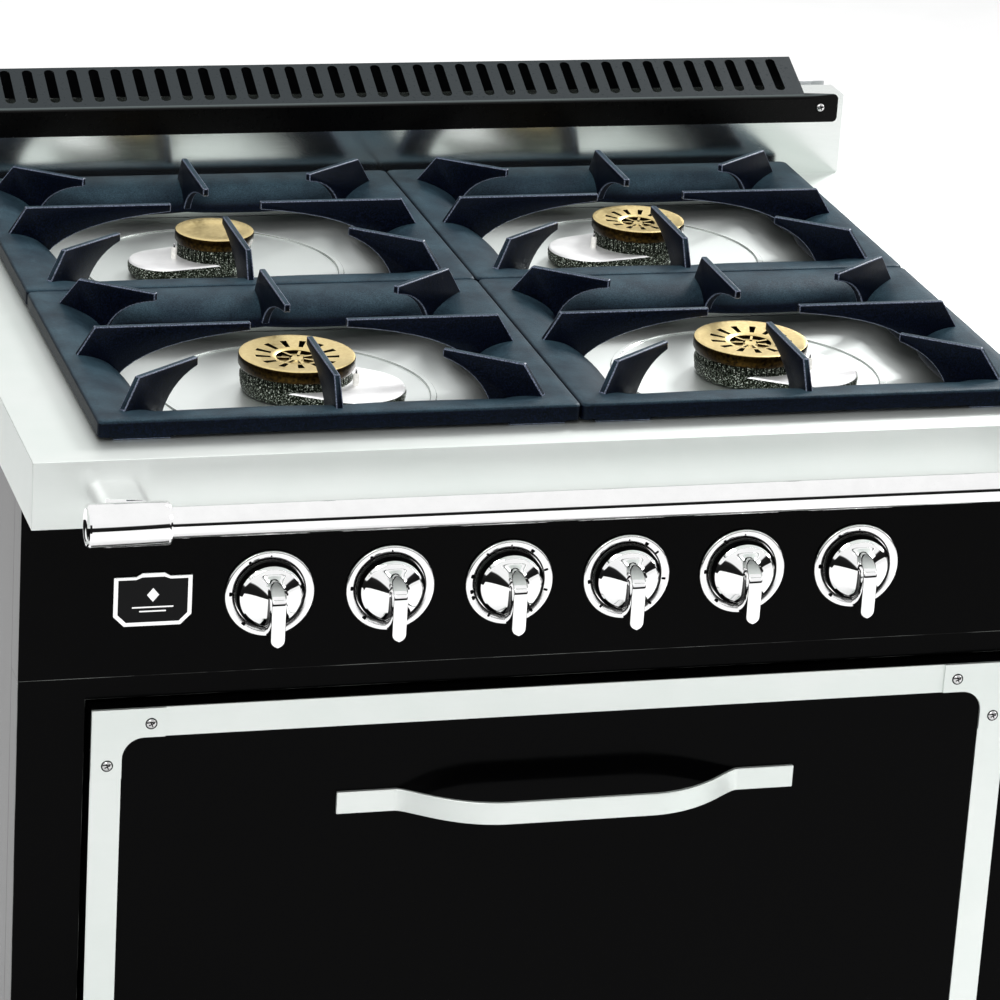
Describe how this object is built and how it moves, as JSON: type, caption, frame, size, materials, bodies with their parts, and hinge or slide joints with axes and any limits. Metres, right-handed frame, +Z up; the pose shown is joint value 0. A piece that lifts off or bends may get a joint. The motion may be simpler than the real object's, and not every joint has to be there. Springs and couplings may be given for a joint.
{
  "type": "freestanding gas range",
  "caption": "Freestanding gas range: cooktop with cast grates over burners, knobs and towel bar in front, banded drop-down oven door, storage drawer.",
  "frame": {"origin": "on the floor, at the middle of the whole outline seen from above", "axes": "+Z up, +X to the right seen from the front, the front with the door and knobs faces -Y"},
  "size_m": [0.914, 0.8395, 1.016],
  "materials": {
    "stainless": "fine straight brushing",
    "chrome": "mirror polish",
    "screw_steel": "polished",
    "black_enamel": "gloss enamel",
    "black_satin": "satin enamel",
    "galvanised": "dull zinc",
    "cast_iron": "matt porcelain enamel over sand casting",
    "brass": "machined",
    "aluminium": "as-cast sides, machined deck",
    "pipe_steel": "black pipe",
    "oven_enamel": "speckled porcelain enamel",
    "rack_chrome": "plated wire",
    "insulation": "glass wool",
    "seal": "matt",
    "ceramic": "unglazed",
    "gland": "matt",
    "leg_steel": "satin"
  },
  "bodies": {
    "range_body": {"back_panel": "galvanised", "base_frame": "galvanised", "front_frame": "black_enamel", "hinge_pins": "screw_steel", "cooktop_frame": "stainless", "burner_pans": "stainless", "backguard": "stainless", "vent_cover": "black_satin", "vent_cover_screws": "screw_steel", "spark_electrodes": "ceramic", "towel_bar": "chrome", "control_panel": "black_enamel", "knob_bezels": "chrome", "gas_valves": "brass", "gas_manifold": "pipe_steel", "gas_tubes": "aluminium", "badge_plate": "chrome", "door_seal": "seal", "oven_liner": "oven_enamel", "oven_insulation": "insulation", "rack_guides": "rack_chrome", "oven_burner": "pipe_steel", "drawer_runners": "galvanised", "power_gland": "gland", "side_panel_left": "black_enamel", "bar_bracket_left": "chrome", "side_panel_right": "black_enamel", "bar_bracket_right": "chrome", "burner_base_front_left": "aluminium", "burner_base_front_right": "aluminium", "burner_base_rear_left": "aluminium", "burner_base_rear_right": "aluminium"},
    "oven_door": {"door_outer_panel": "black_enamel", "door_inner_panel": "oven_enamel", "door_banding": "stainless", "door_corner_plates": "stainless", "door_screws": "screw_steel", "door_handle": "stainless"},
    "storage_drawer": {"drawer_front": "black_enamel", "drawer_tray": "galvanised"},
    "knob_1": {"knob_1": "chrome"},
    "knob_2": {"knob_2": "chrome"},
    "knob_3": {"knob_3": "chrome"},
    "knob_4": {"knob_4": "chrome"},
    "knob_5": {"knob_5": "chrome"},
    "knob_6": {"knob_6": "chrome"},
    "grate_front_left": {"grate_front_left": "cast_iron"},
    "cap_front_left": {"burner_cap_front_left": "brass"},
    "grate_front_right": {"grate_front_right": "cast_iron"},
    "cap_front_right": {"burner_cap_front_right": "brass"},
    "grate_rear_left": {"grate_rear_left": "cast_iron"},
    "cap_rear_left": {"burner_cap_rear_left": "brass"},
    "grate_rear_right": {"grate_rear_right": "cast_iron"},
    "cap_rear_right": {"burner_cap_rear_right": "brass"},
    "rack_lower": {"oven_rack_lower": "rack_chrome"},
    "rack_upper": {"oven_rack_upper": "rack_chrome"},
    "leg_front_left": {"leg_front_left": "leg_steel"},
    "leg_front_right": {"leg_front_right": "leg_steel"},
    "leg_rear_left": {"leg_rear_left": "leg_steel"},
    "leg_rear_right": {"leg_rear_right": "leg_steel"}
  },
  "joints": [
    {"name": "door_hinge", "type": "hinge", "parent": "range_body", "child": "oven_door", "pos_m": [0, -0.29325, 0.233], "axis": [1, 0, 0], "range_deg": [0, 90]},
    {"name": "drawer_slide", "type": "slide", "parent": "range_body", "child": "storage_drawer", "axis": [0, -1, 0], "range_m": [0, 0.3]},
    {"name": "knob_turn_1", "type": "hinge", "parent": "range_body", "child": "knob_1", "pos_m": [-0.252, -0.30025, 0.7752], "axis": [0, -1, 0], "range_deg": [0, 210]},
    {"name": "knob_turn_2", "type": "hinge", "parent": "range_body", "child": "knob_2", "pos_m": [-0.1512, -0.30025, 0.7752], "axis": [0, -1, 0], "range_deg": [0, 210]},
    {"name": "knob_turn_3", "type": "hinge", "parent": "range_body", "child": "knob_3", "pos_m": [-0.0504, -0.30025, 0.7752], "axis": [0, -1, 0], "range_deg": [0, 300]},
    {"name": "knob_turn_4", "type": "hinge", "parent": "range_body", "child": "knob_4", "pos_m": [0.0504, -0.30025, 0.7752], "axis": [0, -1, 0], "range_deg": [0, 300]},
    {"name": "knob_turn_5", "type": "hinge", "parent": "range_body", "child": "knob_5", "pos_m": [0.1512, -0.30025, 0.7752], "axis": [0, -1, 0], "range_deg": [0, 210]},
    {"name": "knob_turn_6", "type": "hinge", "parent": "range_body", "child": "knob_6", "pos_m": [0.252, -0.30025, 0.7752], "axis": [0, -1, 0], "range_deg": [0, 210]},
    {"name": "grate_lift_front_left", "type": "slide", "parent": "range_body", "child": "grate_front_left", "axis": [0, 0, 1], "range_m": [0, 0.12]},
    {"name": "cap_lift_front_left", "type": "slide", "parent": "range_body", "child": "cap_front_left", "axis": [0, 0, 1], "range_m": [0, 0.048]},
    {"name": "grate_lift_front_right", "type": "slide", "parent": "range_body", "child": "grate_front_right", "axis": [0, 0, 1], "range_m": [0, 0.12]},
    {"name": "cap_lift_front_right", "type": "slide", "parent": "range_body", "child": "cap_front_right", "axis": [0, 0, 1], "range_m": [0, 0.048]},
    {"name": "grate_lift_rear_left", "type": "slide", "parent": "range_body", "child": "grate_rear_left", "axis": [0, 0, 1], "range_m": [0, 0.12]},
    {"name": "cap_lift_rear_left", "type": "slide", "parent": "range_body", "child": "cap_rear_left", "axis": [0, 0, 1], "range_m": [0, 0.048]},
    {"name": "grate_lift_rear_right", "type": "slide", "parent": "range_body", "child": "grate_rear_right", "axis": [0, 0, 1], "range_m": [0, 0.12]},
    {"name": "cap_lift_rear_right", "type": "slide", "parent": "range_body", "child": "cap_rear_right", "axis": [0, 0, 1], "range_m": [0, 0.048]},
    {"name": "rack_slide_lower", "type": "slide", "parent": "range_body", "child": "rack_lower", "axis": [0, -1, 0], "range_m": [0, 0.2]},
    {"name": "rack_slide_upper", "type": "slide", "parent": "range_body", "child": "rack_upper", "axis": [0, -1, 0], "range_m": [0, 0.2]},
    {"name": "leg_screw_front_left", "type": "slide", "parent": "range_body", "child": "leg_front_left", "axis": [0, 0, -1], "range_m": [0, 0.03]},
    {"name": "leg_screw_front_right", "type": "slide", "parent": "range_body", "child": "leg_front_right", "axis": [0, 0, -1], "range_m": [0, 0.03]},
    {"name": "leg_screw_rear_left", "type": "slide", "parent": "range_body", "child": "leg_rear_left", "axis": [0, 0, -1], "range_m": [0, 0.03]},
    {"name": "leg_screw_rear_right", "type": "slide", "parent": "range_body", "child": "leg_rear_right", "axis": [0, 0, -1], "range_m": [0, 0.03]}
  ],
  "couplings": [
    {"joint": "cap_lift_front_left", "follows": "grate_lift_front_left", "ratio": 0.4},
    {"joint": "cap_lift_front_right", "follows": "grate_lift_front_right", "ratio": 0.4},
    {"joint": "cap_lift_rear_left", "follows": "grate_lift_rear_left", "ratio": 0.4},
    {"joint": "cap_lift_rear_right", "follows": "grate_lift_rear_right", "ratio": 0.4},
    {"joint": "rack_slide_lower", "follows": "door_hinge", "m_per_rad": 0.127},
    {"joint": "rack_slide_upper", "follows": "door_hinge", "m_per_rad": 0.127}
  ]
}
